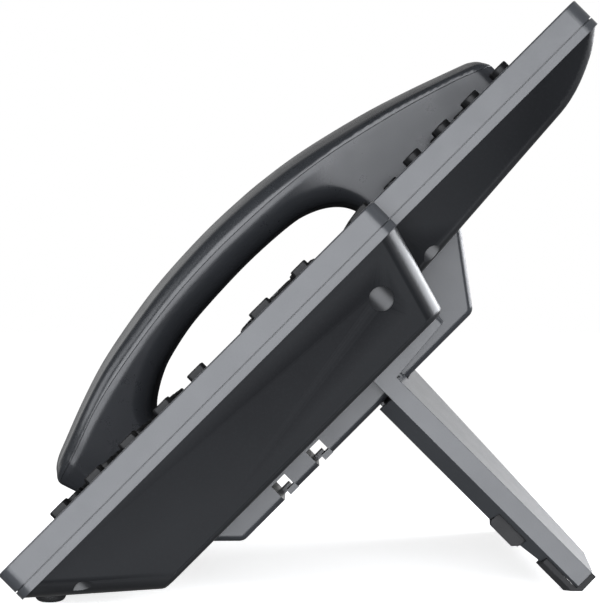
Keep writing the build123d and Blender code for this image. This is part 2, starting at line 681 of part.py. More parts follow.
# Rubber pads as (y, z) outlines: at the far end of each leg and part way along
PAD_Y = 99.6
PAD_X = 67.6
END_PAD = [(PAD_Y, -102.0), (102.5, -102.0), (102.5, -113.4), (108.5, -113.4),
           (108.5, -115.0), (103.1, -115.1), (PAD_Y, -111.6)]
MIDDLE_PAD = [(99.0, -84.5), (98.0, -85.6), (98.0, -93.3), (99.8, -94.9), (102.0, -94.9),
              (102.0, -84.5)]
END_SEAT = [(98.0, -101.95), (102.55, -101.95), (102.55, -113.35), (110, -113.35),
            (110, -118), (98.0, -118)]
MIDDLE_SEAT = [(97.0, -84.45), (102.05, -84.45), (102.05, -94.95), (97.0, -94.95)]


def stand_side(side):
    """One arm beside the pedestal, its leg and the tongue in the stand slot."""
    arm = prism_x([(LEG_Y0, -33.1), (128.5, -33.1), (128.5, -36.6), (LEG_Y1, -38.3),
                   (LEG_Y1, -60), (LEG_Y0, -60)], *span(side, 64.0, LEG_OUTER))
    tip = [e for e in arm.edges() if abs((e @ 0.5).Y - 128.5) < 0.01
           and abs((e @ 0.5).X - side * LEG_OUTER) < 0.01]
    arm = fillet(tip, 1.6)
    leg = prism_z([(side * LEG_OUTER, LEG_Y0), (side * LEG_OUTER, LEG_Y1),
                   (side * LEG_INNER, LEG_Y1 + 0.2), (side * LEG_INNER, 99.0),
                   (side * 62.2, 99.0)], LEG_END, -41.6)
    # the low-Y edge is cut back between the two pads
    leg = leg - prism_x([(97, -95.0), (99.85, -95.0), (100.6, -101.0), (100.6, -103),
                         (97, -103)], -70, 70)
    arm = arm + leg
    return arm + box(*span(side, 50.0, 64.2), STAND_SLOT_Y + 3.4, STAND_SLOT_Y + 5.0,
                     -39.2, -35.8)


def stand_panel():
    sections = []
    for y, flat, thick, z in PANEL_ENDS:
        outline = [(-LEG_OUTER, 106.2), (-LEG_OUTER, LEG_Y1), (-flat, y), (flat, y),
                   (LEG_OUTER, LEG_Y1), (LEG_OUTER, 106.2), (flat, y - thick),
                   (-flat, y - thick)]
        sections.append(Plane.XY.offset(z) * polygon(outline))
    return loft(sections, ruled=True) - box(-60.35, 60.35, 90, 125, -41.2, -30)


def stand_ribs():
    """Rib lattice on the panel's inner face."""
    sections = []
    for y, flat, _, z in PANEL_ENDS:
        shoulder = LEG_Y1 - UNDER_GAP
        outline = [(-PAD_X, 98), (-PAD_X, shoulder), (-flat, y - UNDER_GAP),
                   (flat, y - UNDER_GAP), (PAD_X, shoulder), (PAD_X, 98)]
        sections.append(Plane.XY.offset(z) * polygon(outline))
    under = loft(sections, ruled=True)
    zone = prism_x([(101.0, -42.0), (112.6, -42.0), (109.6, -113.2), (104.2, -113.2),
                    (101.0, -110.2)], -60.8, 60.8)
    ribs = [box(-61, 61, 100, 114, z - 0.8, z + 0.8) for z in (-43.0, -66.0, -89.0, -112.4)]
    # a diagonal cross in every bay
    for x in (-45.5, -15.2, 15.2, 45.5):
        for z in (-54.5, -77.5, -100.7):
            for angle in (37.0, -37.0):
                rib = Pos(x, 107, z) * (Rot(0, angle, 0) * Box(40, 14, 1.4))
                ribs.append(rib & box(x - 15.2, x + 15.2, 100, 114, z - 11.7, z + 11.7))
    for x in (-30.3, 0.0, 30.3):
        ribs.append(box(x - 0.8, x + 0.8, 100, 114, -113, -42))
    return fuse(ribs) & zone & under


def make_stand():
    stand = stand_side(-1) + stand_side(1) + stand_panel() + stand_ribs()
    # the panel's far end is cut back
    stand = stand - prism_x([(LEG_Y1 + 0.1, -113.9), (113, -107.0), (114, -120),
                             (LEG_Y1 + 0.1, -120)], -70, 70)
    for side in (-1, 1):
        stand = stand - prism_x(END_SEAT, *span(side, 57.9, 68.1))
        stand = stand - prism_x(MIDDLE_SEAT, *span(side, 57.9, 66.6))
    return one(stand & box(-70, 70, 90, 130, LEG_END, -30))


def make_stand_feet():
    pads = []
    for side in (-1, 1):
        pad = prism_x(END_PAD, *span(side, LEG_INNER, PAD_X))
        corner = [e for e in pad.edges() if abs((e @ 0.5).Y - PAD_Y) < 0.05
                  and e.length > 5 and abs(abs((e @ 0.5).X) - PAD_X) < 0.05]
        pads.append(one(chamfer(corner, 1.5)))
        pads.append(one(prism_x(MIDDLE_PAD, *span(side, LEG_INNER, 64.6))))
    return pads


# ------------------------------------------------- tilt and place on the desk
def make_parts():
    """name: list of solids, in the body frame"""
    parts = {name: [make_key(name)] for name in KEYS}
    for name, angle in ARROWS.items():
        parts[name] = [make_arrow_key(angle)]
    parts.update({
        "nav_key_center": [make_center_key()],
        "handset_top_shell": [make_handset_top()],
        "handset_bottom_shell": [make_handset_bottom()],
        "receiver_capsule": [make_receiver()],
        "handset_microphone": [make_microphone()],
        "front_bezel": [make_bezel()],
        "display_window": [make_window()],
        "lcd_module": [make_lcd()],
        "keypad_mat": [make_mat()],
        "main_board": [make_board()],
        "loudspeaker": [make_loudspeaker()],
        "network_jacks": make_network_jacks(),
        "handset_jacks": make_handset_jacks(),
        "front_feet": make_front_feet(),
        "rear_housing": [make_housing()],
        "hook_plunger": [make_hook_plunger()],
        "hook_switch": [make_hook_switch()],
        "housing_screws": [make_screw(*screw) for screw in SCREWS],
        "stand": [make_stand()],
        "stand_feet": make_stand_feet(),
    })
    return parts


os.makedirs("parts", exist_ok=True)
tilted = {name: [solid.rotate(Axis.X, TILT) for solid in solids]
          for name, solids in make_parts().items()}
bounds = [solid.bounding_box() for solids in tilted.values() for solid in solids]
# centre the whole phone in X and Y, and bring the desk plane to Z = 0
placement = Location((
    -(min(b.min.X for b in bounds) + max(b.max.X for b in bounds)) / 2,
    -(min(b.min.Y for b in bounds) + max(b.max.Y for b in bounds)) / 2,
    -DESK_SUM * math.sin(math.radians(TILT))))

for name, solids in tilted.items():
    placed = [solid.moved(placement) for solid in solids]
    shape = placed[0] if len(placed) == 1 else Compound(children=placed)
    shape.label = name
    export_step(shape, f"parts/{name}.step")
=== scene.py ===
import json
import math

import bmesh
import bpy
import numpy as np
from mathutils import Matrix, Vector

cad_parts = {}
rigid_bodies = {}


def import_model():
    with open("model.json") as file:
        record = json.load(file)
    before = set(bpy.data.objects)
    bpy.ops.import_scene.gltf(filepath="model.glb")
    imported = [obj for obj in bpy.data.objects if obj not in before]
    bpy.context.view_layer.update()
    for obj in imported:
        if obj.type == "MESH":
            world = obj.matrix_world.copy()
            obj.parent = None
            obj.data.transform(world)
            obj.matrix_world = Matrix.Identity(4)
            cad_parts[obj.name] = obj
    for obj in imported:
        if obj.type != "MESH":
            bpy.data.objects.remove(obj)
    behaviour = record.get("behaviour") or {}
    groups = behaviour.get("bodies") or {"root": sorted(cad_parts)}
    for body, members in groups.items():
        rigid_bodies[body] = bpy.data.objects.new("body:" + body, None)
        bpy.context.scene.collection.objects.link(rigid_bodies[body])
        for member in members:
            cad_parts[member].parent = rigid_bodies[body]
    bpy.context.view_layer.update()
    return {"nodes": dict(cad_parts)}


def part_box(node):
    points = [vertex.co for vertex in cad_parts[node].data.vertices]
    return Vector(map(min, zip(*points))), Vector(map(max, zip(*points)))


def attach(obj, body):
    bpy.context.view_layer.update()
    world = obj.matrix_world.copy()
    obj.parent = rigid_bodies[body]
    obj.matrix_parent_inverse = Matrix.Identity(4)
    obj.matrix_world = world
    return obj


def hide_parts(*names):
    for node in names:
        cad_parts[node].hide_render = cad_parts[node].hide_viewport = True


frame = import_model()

SC = bpy.context.scene
C45 = math.sqrt(0.5)
W_LO, W_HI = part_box("display_window")
# the window's lower front edge sits at u = 140.2, n = -0.2 in the flat frame
DY = W_LO.y - (140.2 + 0.2) * C45 / 1000
DZ = 12.0 * C45 / 1000
FLAT = Matrix.Translation((0, DY, DZ)) @ Matrix.Rotation(math.radians(45), 4, "X")


def world(x, u, n):
    return FLAT @ Vector((x / 1000, u / 1000, n / 1000))


# ------------------------------------------------------------------ materials
class Mat:
    """A small helper that wires nodes."""

    def __init__(self, name):
        self.m = bpy.data.materials.new(name)
        self.m.use_nodes = True
        self.t = self.m.node_tree
        for n in list(self.t.nodes):
            self.t.nodes.remove(n)
        self.out = self.t.nodes.new("ShaderNodeOutputMaterial")
        self.coord = self.t.nodes.new("ShaderNodeTexCoord").outputs["Object"]

    def node(self, kind, **kw):
        n = self.t.nodes.new(kind)
        for k, v in kw.items():
            setattr(n, k, v)
        return n

    def link(self, a, b):
        self.t.links.new(a, b)

    def put(self, sock, v):
        if hasattr(v, "is_linked") or isinstance(v, bpy.types.NodeSocket):
            self.link(v, sock)
        else:
            sock.default_value = v

    def math(self, op, a, b=0.0, c=0.0, clamp=False):
        n = self.node("ShaderNodeMath", operation=op, use_clamp=clamp)
        for s, v in zip(n.inputs, (a, b, c)):
            self.put(s, v)
        return n.outputs[0]

    def noise(self, scale, detail=2.0, rough=0.5, vec=None):
        n = self.node("ShaderNodeTexNoise")
        n.inputs["Scale"].default_value = scale
        n.inputs["Detail"].default_value = detail
        n.inputs["Roughness"].default_value = rough
        self.link(vec if vec is not None else self.coord, n.inputs["Vector"])
        return n.outputs["Fac"]

    def voronoi(self, scale, vec=None):
        n = self.node("ShaderNodeTexVoronoi")
        n.inputs["Scale"].default_value = scale
        self.link(vec if vec is not None else self.coord, n.inputs["Vector"])
        return n.outputs["Distance"]

    def ramp(self, fac, lo, hi, a=0.0, b=1.0):
        n = self.node("ShaderNodeMapRange", clamp=True)
        self.put(n.inputs["Value"], fac)
        n.inputs["From Min"].default_value = lo
        n.inputs["From Max"].default_value = hi
        self.put(n.inputs["To Min"], a)
        self.put(n.inputs["To Max"], b)
        return n.outputs["Result"]

    def mix(self, fac, a, b):
        n = self.node("ShaderNodeMix", data_type="RGBA")
        self.put(n.inputs["Factor"], fac)
        self.put(n.inputs[6], a)
        self.put(n.inputs[7], b)
        return n.outputs[2]

    def flat(self):
        """(x, u, n) in millimetres at rest, as three sockets."""
        s = self.node("ShaderNodeSeparateXYZ")
        self.link(self.coord, s.inputs[0])
        y = self.math("SUBTRACT", s.outputs[1], DY)
        z = self.math("SUBTRACT", s.outputs[2], DZ)
        u = self.math("MULTIPLY", self.math("ADD", y, z), C45 * 1000)
        n = self.math("MULTIPLY", self.math("SUBTRACT", z, y), C45 * 1000)
        return self.math("MULTIPLY", s.outputs[0], 1000.0), u, n

    def normal_x(self):
        g = self.node("ShaderNodeNewGeometry")
        s = self.node("ShaderNodeSeparateXYZ")
        self.link(g.outputs["Normal"], s.inputs[0])
        return s.outputs[0]

    def normal_out(self):
        g = self.node("ShaderNodeNewGeometry")
        d = self.node("ShaderNodeVectorMath", operation="DOT_PRODUCT")
        self.link(g.outputs["Normal"], d.inputs[0])
        d.inputs[1].default_value = (0.0, -C45, C45)
        return d.outputs["Value"]

    def bump(self, height, strength, dist, normal=None):
        b = self.node("ShaderNodeBump")
        b.inputs["Strength"].default_value = strength
        b.inputs["Distance"].default_value = dist
        self.link(height, b.inputs["Height"])
        if normal is not None:
            self.link(normal, b.inputs["Normal"])
        return b.outputs["Normal"]

    def bevel(self, radius):
        b = self.node("ShaderNodeBevel", samples=4)
        b.inputs["Radius"].default_value = radius
        return b.outputs["Normal"]

    def done(self, **kw):
        p = self.node("ShaderNodeBsdfPrincipled")
        names = {"base": "Base Color", "rough": "Roughness", "metal": "Metallic",
                 "spec": "Specular IOR Level", "normal": "Normal", "coat": "Coat Weight",
                 "coat_rough": "Coat Roughness", "sheen": "Sheen Weight", "alpha": "Alpha",
                 "emit": "Emission Color", "emit_s": "Emission Strength",
                 "trans": "Transmission Weight", "ior": "IOR", "sub": "Subsurface Weight"}
        for k, v in kw.items():
            self.put(p.inputs[names[k]], v)
        self.link(p.outputs[0], self.out.inputs[0])
        self.p = p
        return self.m


def rgb(r, g, b):
    return (r, g, b, 1.0)


def moulded(name, col, rough=0.38, spec=0.5, grain=2600.0, bump=0.10, bevel=0.0003, worn=0.05,
            coat=0.0, cap=None):
    """Spark-textured moulded plastic: fine grain, faint tone drift, handled edges."""
    m = Mat(name)
    fine = m.noise(grain, 3.0, 0.6)
    pits = m.voronoi(grain * 0.8)
    broad = m.noise(28.0, 3.0, 0.55)
    smear = m.noise(140.0, 4.0, 0.6)
    geo = m.node("ShaderNodeNewGeometry")
    edge = m.ramp(geo.outputs["Pointiness"], 0.505, 0.56)
    dark = rgb(*[c * 0.90 for c in col])
    light = rgb(*[min(1.0, c * 1.10) for c in col])
    base = m.mix(m.ramp(broad, 0.3, 0.7), dark, light)
    base = m.mix(m.math("MULTIPLY", m.ramp(fine, 0.45, 0.75), 0.25),
                 base, rgb(*[min(1.0, c * 1.35 + 0.004) for c in col]))
    base = m.mix(m.math("MULTIPLY", edge, worn), base, rgb(*[min(1.0, c * 2.2 + 0.03) for c in col]))
    r = m.math("ADD", m.ramp(smear, 0.25, 0.75, rough - 0.035, rough + 0.045),
               m.math("MULTIPLY", m.ramp(fine, 0.3, 0.7), 0.03))
    h = m.math("ADD", fine, m.math("MULTIPLY", pits, 0.6))
    nrm = m.bump(h, bump, 0.00006, m.bevel(bevel))
    if cap is not None:
        spec = eased(m, nrm, spec, cap)
    return m.done(base=base, rough=r, spec=spec, normal=nrm, coat=coat, coat_rough=0.3)


def eased(m, normal, spec, cap):
    """Specular level that eases off towards grazing, so the reflection stops near cap."""
    fr = m.node("ShaderNodeFresnel")
    fr.inputs[0].default_value = 1.5
    m.link(normal, fr.inputs["Normal"])
    ratio = m.math("DIVIDE", cap / (2.0 * spec), fr.outputs[0])
    return m.math("MULTIPLY", m.math("POWER", m.math("MINIMUM", ratio, 1.0), 4.3), spec)


def housing_material(name, col, col_tub_matt_and_shade):
    """The rim and pedestal are satin; the tub's drafted walls have a coarse, matt texture, with painted
    shade: a darker base colour and less reflection on the side walls that lean back.
    """
    m = Mat(name)
    x, u, n = m.flat()
    below = m.ramp(n, -8.95, -8.80, 1.0, 0.0)
    wide = m.ramp(m.math("ABSOLUTE", x), 60.2, 60.6)
    low_u = m.ramp(u, 36.0, 38.5, 1.0, 0.0)
    back = m.ramp(n, -33.3, -32.9, 1.0, 0.0)
    tub = m.math("MULTIPLY", below, m.math("MAXIMUM", wide, low_u), clamp=True)
    tub = m.math("MAXIMUM", tub, m.math("MULTIPLY", below, m.ramp(u, 150.0, 152.0)))
    fine = m.noise(2600.0, 3.0, 0.6)
    coarse = m.noise(1500.0, 2.0, 0.7)
    broad = m.noise(26.0, 3.0, 0.5)
    smear = m.noise(120.0, 4.0, 0.6)
    c1 = m.mix(m.ramp(broad, 0.3, 0.7), rgb(*[c * 0.92 for c in col]), rgb(*[c * 1.08 for c in col]))
    # the tub's darker colour is partly its matt texture and partly painted shade
    c2 = m.mix(m.ramp(broad, 0.3, 0.7), rgb(*[c * 0.90 for c in col_tub_matt_and_shade]),
               rgb(*[c * 1.12 for c in col_tub_matt_and_shade]))
    c2 = m.mix(m.math("MULTIPLY", m.ramp(coarse, 0.5, 0.8), 0.35), c2,
               rgb(*[c * 1.6 for c in col_tub_matt_and_shade]))
    base = m.mix(tub, c1, c2)
    geo = m.node("ShaderNodeNewGeometry")
    edge = m.ramp(geo.outputs["Pointiness"], 0.505, 0.56)
    base = m.mix(m.math("MULTIPLY", edge, 0.05), base, rgb(0.16, 0.165, 0.17))
    rough = m.math("ADD", m.ramp(tub, 0.0, 1.0, 0.30, 0.36), m.ramp(smear, 0.25, 0.75, -0.03, 0.04))
    # painted shade: reflection is cut on the tub's side walls that lean back, chosen by their facing
    lean = m.math("MULTIPLY", m.ramp(m.math("ABSOLUTE", m.normal_x()), 0.90, 0.96),
                  m.ramp(m.normal_out(), -0.12, -0.05, 1.0, 0.0))
    wall_painted_shade = m.math("MULTIPLY", tub, lean)
    spec = m.math("SUBTRACT", m.ramp(below, 0.0, 1.0, 0.5, 0.38), m.math("MULTIPLY", wall_painted_shade, 0.425))
    h = m.math("ADD", m.math("MULTIPLY", fine, 0.5), m.math("MULTIPLY", coarse, tub))
    nrm = m.bump(h, 0.14, 0.00007, m.bevel(0.00012))
    return m.done(base=base, rough=rough, spec=spec, normal=nrm)


CHARCOAL = (0.031, 0.033, 0.036)
M_BEZEL = moulded("bezel_satin_charcoal", CHARCOAL, 0.30, 0.5, bump=0.08, bevel=0.00012)
# the second colour is the tub's, darkened partly by painted shade
M_HOUSING = housing_material("housing_satin_matt_and_painted_shade", (0.028, 0.030, 0.033), (0.0095, 0.0099, 0.0107))
M_STAND = moulded("stand_satin_charcoal", (0.030, 0.032, 0.035), 0.30, 0.5, bump=0.10)
M_HANDSET = moulded("handset_satin_charcoal", (0.026, 0.028, 0.031), 0.25, 0.5, bump=0.04,
                    worn=0.0, cap=0.20)
M_HANDSET_LOW = moulded("handset_lower_charcoal", (0.023, 0.0245, 0.0275), 0.28, 0.44, bump=0.05,
                        worn=0.0, cap=0.05)
M_KEY = moulded("key_satin_black", (0.010, 0.0102, 0.0105), 0.30, 0.16, grain=3200.0, bump=0.05,
                bevel=0.00015, worn=0.06, cap=0.03)
M_SOCKET = moulded("socket_black", (0.012, 0.012, 0.013), 0.42, 0.45, bump=0.05)


def rubber(name, col):
    m = Mat(name)
    fine = m.noise(1900.0, 4.0, 0.7)
    dust = m.noise(90.0, 5.0, 0.65)
    base = m.mix(m.math("MULTIPLY", m.ramp(dust, 0.5, 0.8), 0.25), rgb(*col),
                 rgb(*[c * 2.5 + 0.01 for c in col]))
    nrm = m.bump(fine, 0.35, 0.0001, m.bevel(0.0003))
    return m.done(base=base, rough=m.ramp(dust, 0.3, 0.7, 0.62, 0.78), spec=0.3, normal=nrm)


M_RUBBER = rubber("foot_rubber_black", (0.012, 0.012, 0.0125))
M_MAT = rubber("keypad_mat_silicone", (0.16, 0.16, 0.165))


def steel(name, col, rough):
    m = Mat(name)
    mp = m.node("ShaderNodeMapping")
    mp.inputs["Scale"].default_value = (1.0, 1.0, 0.04)
    m.link(m.coord, mp.inputs["Vector"])
    lines = m.noise(4200.0, 2.0, 0.5, mp.outputs[0])
    spots = m.noise(300.0, 4.0, 0.6)
    base = m.mix(m.ramp(spots, 0.35, 0.7), rgb(*col), rgb(*[c * 0.72 for c in col]))
    nrm = m.bump(lines, 0.25, 0.00004, m.bevel(0.0002))
    return m.done(base=base, metal=1.0, rough=m.ramp(lines, 0.3, 0.7, rough - 0.08, rough + 0.1),
                  normal=nrm)


M_STEEL = steel("pressed_steel", (0.50, 0.50, 0.51), 0.35)
M_SCREW = steel("zinc_screw", (0.36, 0.36, 0.37), 0.4)
M_GOLD = steel("contact_gold", (0.83, 0.58, 0.22), 0.25)


def board_material():
    m = Mat("circuit_board_green")
    x, u, n = m.flat()
    tracks = m.node("ShaderNodeTexBrick")
    tracks.inputs["Scale"].default_value = 420.0
    m.link(m.coord, tracks.inputs["Vector"])
    grime = m.noise(60.0, 3.0, 0.5)
    base = m.mix(tracks.outputs["Fac"], rgb(0.010, 0.085, 0.035), rgb(0.02, 0.15, 0.06))
    base = m.mix(m.ramp(n, -7.4, -7.25, 1.0, 0.0), base, rgb(0.015, 0.015, 0.016))
    nrm = m.bump(tracks.outputs["Fac"], 0.2, 0.00005)
    return m.done(base=base, rough=m.ramp(grime, 0.3, 0.7, 0.28, 0.4), spec=0.5, normal=nrm)


M_BOARD = board_material()


def glass_window():
    """Clear hard-coated window with a printed black border."""
    m = Mat("display_window_coated")
    x, u, n = m.flat()
    dx = m.math("ABSOLUTE", m.math("SUBTRACT", x, 15.0))
    du = m.math("ABSOLUTE", m.math("SUBTRACT", u, 170.0))
    inside = m.math("MULTIPLY", m.ramp(dx, 40.9, 41.1, 1.0, 0.0), m.ramp(du, 25.4, 25.6, 1.0, 0.0))
    smear = m.noise(45.0, 5.0, 0.65)
    dust = m.noise(1500.0, 2.0, 0.5)
    p = m.node("ShaderNodeBsdfPrincipled")
    p.inputs["Base Color"].default_value = rgb(0.006, 0.006, 0.007)
    p.inputs["Specular IOR Level"].default_value = 0.55
    m.link(m.ramp(smear, 0.35, 0.75, 0.06, 0.17), p.inputs["Roughness"])
    m.link(m.bump(dust, 0.02, 0.00003, m.bevel(0.0003)), p.inputs["Normal"])
    clear = m.node("ShaderNodeBsdfTransparent")
    clear.inputs[0].default_value = (0.86, 0.88, 0.88, 1)
    gloss = m.node("ShaderNodeBsdfGlossy")
    m.link(m.ramp(smear, 0.35, 0.75, 0.06, 0.17), gloss.inputs["Roughness"])
    fres = m.node("ShaderNodeFresnel")
    side = m.node("ShaderNodeNewGeometry")        # the same index on the way in and out
    m.link(m.math("SUBTRACT", 1.45, m.math("MULTIPLY", side.outputs["Backfacing"], 0.7603)),
           fres.inputs[0])
    mx = m.node("ShaderNodeMixShader")
    m.link(fres.outputs[0], mx.inputs[0])
    m.link(clear.outputs[0], mx.inputs[1])
    m.link(gloss.outputs[0], mx.inputs[2])
    out = m.node("ShaderNodeMixShader")
    m.link(inside, out.inputs[0])
    m.link(p.outputs[0], out.inputs[1])
    m.link(mx.outputs[0], out.inputs[2])
    m.link(out.outputs[0], m.out.inputs[0])
    return m.m


M_WINDOW = glass_window()


def screen_material():
    """A generic idle screen: header, four rows a side, softkey fields, a pixel grid."""
    m = Mat("display_image_panel")
    x, u, n = m.flat()
    px = m.math("SUBTRACT", x, 15.0)
    pu = m.math("SUBTRACT", u, 170.0)

    def bar(cx, cu, w, h):
        a = m.ramp(m.math("ABSOLUTE", m.math("SUBTRACT", px, cx)), w / 2 - 0.1, w / 2 + 0.1, 1.0, 0.0)
        b = m.ramp(m.math("ABSOLUTE", m.math("SUBTRACT", pu, cu)), h / 2 - 0.1, h / 2 + 0.1, 1.0, 0.0)
        return m.math("MULTIPLY", a, b)

    tone = m.ramp(pu, -26.0, 26.0)
    base = m.mix(tone, rgb(0.035, 0.075, 0.105), rgb(0.10, 0.20, 0.27))
    base = m.mix(bar(0, 22.6, 84, 5.6), base, rgb(0.012, 0.03, 0.045))
    for cu in (16.3, 5.3, -5.7, -16.7):
        for cx in (-30.5, 30.5):
            base = m.mix(bar(cx, cu, 19.0, 6.6), base, rgb(0.20, 0.33, 0.40))
            base = m.mix(bar(cx - 1.5, cu, 10.5, 0.9), base, rgb(0.75, 0.82, 0.85))
    for k in range(4):
        base = m.mix(bar((k - 1.5) * 20.5, -23.0, 18.0, 4.2), base, rgb(0.010, 0.022, 0.03))
        base = m.mix(bar((k - 1.5) * 20.5, -23.0, 9.0, 0.8), base, rgb(0.72, 0.78, 0.80))
    base = m.mix(bar(-33.0, 22.6, 12.0, 1.0), base, rgb(0.75, 0.80, 0.82))
    base = m.mix(bar(34.0, 22.6, 9.0, 1.0), base, rgb(0.75, 0.80, 0.82))
    grid = m.math("MAXIMUM",
                  m.ramp(m.math("FRACT", m.math("MULTIPLY", px, 4.0)), 0.86, 0.94),
                  m.ramp(m.math("FRACT", m.math("MULTIPLY", pu, 4.0)), 0.86, 0.94))
    base = m.mix(m.math("MULTIPLY", grid, 0.35), base, rgb(0.01, 0.012, 0.014))
    return m.done(base=base, rough=0.25, spec=0.4, emit=base, emit_s=0.45)


M_SCREEN = screen_material()


def lcd_frame_material():
    m = Mat("display_module_frame")
    x, u, n = m.flat()
    lines = m.noise(900.0, 2.0, 0.5)
    nrm = m.bump(lines, 0.15, 0.00005)
    return m.done(base=m.mix(m.ramp(lines, 0.3, 0.7), rgb(0.30, 0.30, 0.31), rgb(0.38, 0.38, 0.39)),
                  metal=0.8, rough=0.38, normal=nrm)


M_LCD = lcd_frame_material()


def print_material(name, col):
    """Pad-printed ink: slightly raised and uneven."""
    m = Mat(name)
    w = m.noise(2400.0, 3.0, 0.6)
    base = m.mix(m.ramp(w, 0.3, 0.7), rgb(*[c * 0.86 for c in col]), rgb(*col))
    return m.done(base=base, rough=0.5, spec=0.3, normal=m.bump(w, 0.1, 0.00003))


M_PRINT = print_material("legend_print_grey", (0.62, 0.63, 0.64))
# dark print for the speaker cloth, also used as painted shade in the handset's sound holes
M_CLOTH_AND_HOLE_SHADE = print_material("speaker_cloth_and_hole_shade_black", (0.010, 0.010, 0.011))

NODE_MAT = {
    "front_bezel": M_BEZEL, "rear_housing": M_HOUSING, "stand": M_STAND,
    "stand_feet": M_RUBBER, "front_feet": M_RUBBER, "display_window": M_WINDOW,
    "lcd_module": M_LCD, "main_board": M_BOARD, "keypad_mat": M_MAT, "loudspeaker": M_STEEL,
    "network_jacks": M_SOCKET, "handset_jacks": M_SOCKET, "hook_plunger": M_KEY,
    "hook_switch": M_SOCKET, "housing_screws": M_SCREW, "handset_top_shell": M_HANDSET,
    "handset_bottom_shell": M_HANDSET_LOW, "receiver_capsule": M_STEEL,
    "handset_microphone": M_STEEL,
}
for name, obj in frame["nodes"].items():
    mat = NODE_MAT.get(name, M_KEY)
    obj.data.materials.clear()
    obj.data.materials.append(mat)


# ------------------------------------------------------------- mesh utilities
def new_object(name, verts, faces, mat, smooth=True):
    me = bpy.data.meshes.new(name)
    me.from_pydata([tuple(v) for v in verts], [], [tuple(f) for f in faces])
    me.validate()
    me.update()
    ob = bpy.data.objects.new(name, me)
    SC.collection.objects.link(ob)
    me.materials.append(mat)
    if smooth:
        me.polygons.foreach_set("use_smooth", [True] * len(me.polygons))
    return ob


def place_flat(ob):
    """Mesh drawn in flat millimetres becomes metres in the row frame."""
    ob.data.transform(FLAT @ Matrix.Scale(0.001, 4))
    ob.data.update()
    return ob


def sample_curve(pts, step):
    """Catmull-Rom through the points, resampled evenly."""
    p = np.array(pts, float)
    ext = np.vstack([2 * p[0] - p[1], p, 2 * p[-1] - p[-2]])
    out = []
    for i in range(1, len(ext) - 2):
        p0, p1, p2, p3 = ext[i - 1], ext[i], ext[i + 1], ext[i + 2]
        k = max(2, int(np.linalg.norm(p2 - p1) / 0.25))
        for t in np.arange(k) / k:
            out.append(0.5 * ((2 * p1) + (p2 - p0) * t + (2 * p0 - 5 * p1 + 4 * p2 - p3) * t * t
                              + (3 * p1 - p0 - 3 * p2 + p3) * t ** 3))
    out.append(ext[-2])
    out = np.array(out)
    d = np.concatenate([[0], np.cumsum(np.linalg.norm(np.diff(out, axis=0), axis=1))])
    k = max(2, int(round(d[-1] / step)))
    s = np.linspace(0, d[-1], k + 1)
    return np.stack([np.interp(s, d, out[:, 0]), np.interp(s, d, out[:, 1])], 1)


def seg_sdf(px, py, poly):
    """Signed distance (negative inside) of points to a closed polygon."""
    a = poly
    b = np.roll(poly, -1, 0)
    best = np.full(px.shape, 1e9)
    inside = np.zeros(px.shape, bool)
    for (ax, ay), (bx, by) in zip(a, b):
        ex, ey = bx - ax, by - ay
        L = ex * ex + ey * ey + 1e-12
        t = np.clip(((px - ax) * ex + (py - ay) * ey) / L, 0, 1)
        dx, dy = px - ax - t * ex, py - ay - t * ey
        best = np.minimum(best, dx * dx + dy * dy)
        cond = (ay > py) != (by > py)
        if ey != 0:
            inside ^= cond & (px < ax + ex * (py - ay) / ey)
    d = np.sqrt(best)
    return np.where(inside, -d, d)


class Grid2D:
    """A signed distance sampled on a fine grid, read back with cubic interpolation."""

    def __init__(self, poly, a0, a1, b0, b1, h):
        self.a0, self.b0, self.h = a0, b0, h
        A = np.arange(a0, a1 + h, h)
        B = np.arange(b0, b1 + h, h)
        AA, BB = np.meshgrid(A, B, indexing="ij")
        self.v = seg_sdf(AA, BB, poly)

    def __call__(self, a, b):
        v = self.v
        fa = np.clip((a - self.a0) / self.h, 1, v.shape[0] - 3.001)
        fb = np.clip((b - self.b0) / self.h, 1, v.shape[1] - 3.001)
        ia, ib = fa.astype(int), fb.astype(int)
        ta, tb = fa - ia, fb - ib

        def w(t):
            return [((1 - t) ** 3) / 6, (3 * t ** 3 - 6 * t ** 2 + 4) / 6,
                    (-3 * t ** 3 + 3 * t ** 2 + 3 * t + 1) / 6, t ** 3 / 6]
        wa, wb = w(ta), w(tb)
        out = 0
        for i in range(4):
            for j in range(4):
                out = out + wa[i] * wb[j] * v[ia + i - 1, ib + j - 1]
        return out


def smooth(a, lo, hi):
    t = np.clip((a - lo) / (hi - lo), 0, 1)
    return t * t * (3 - 2 * t)


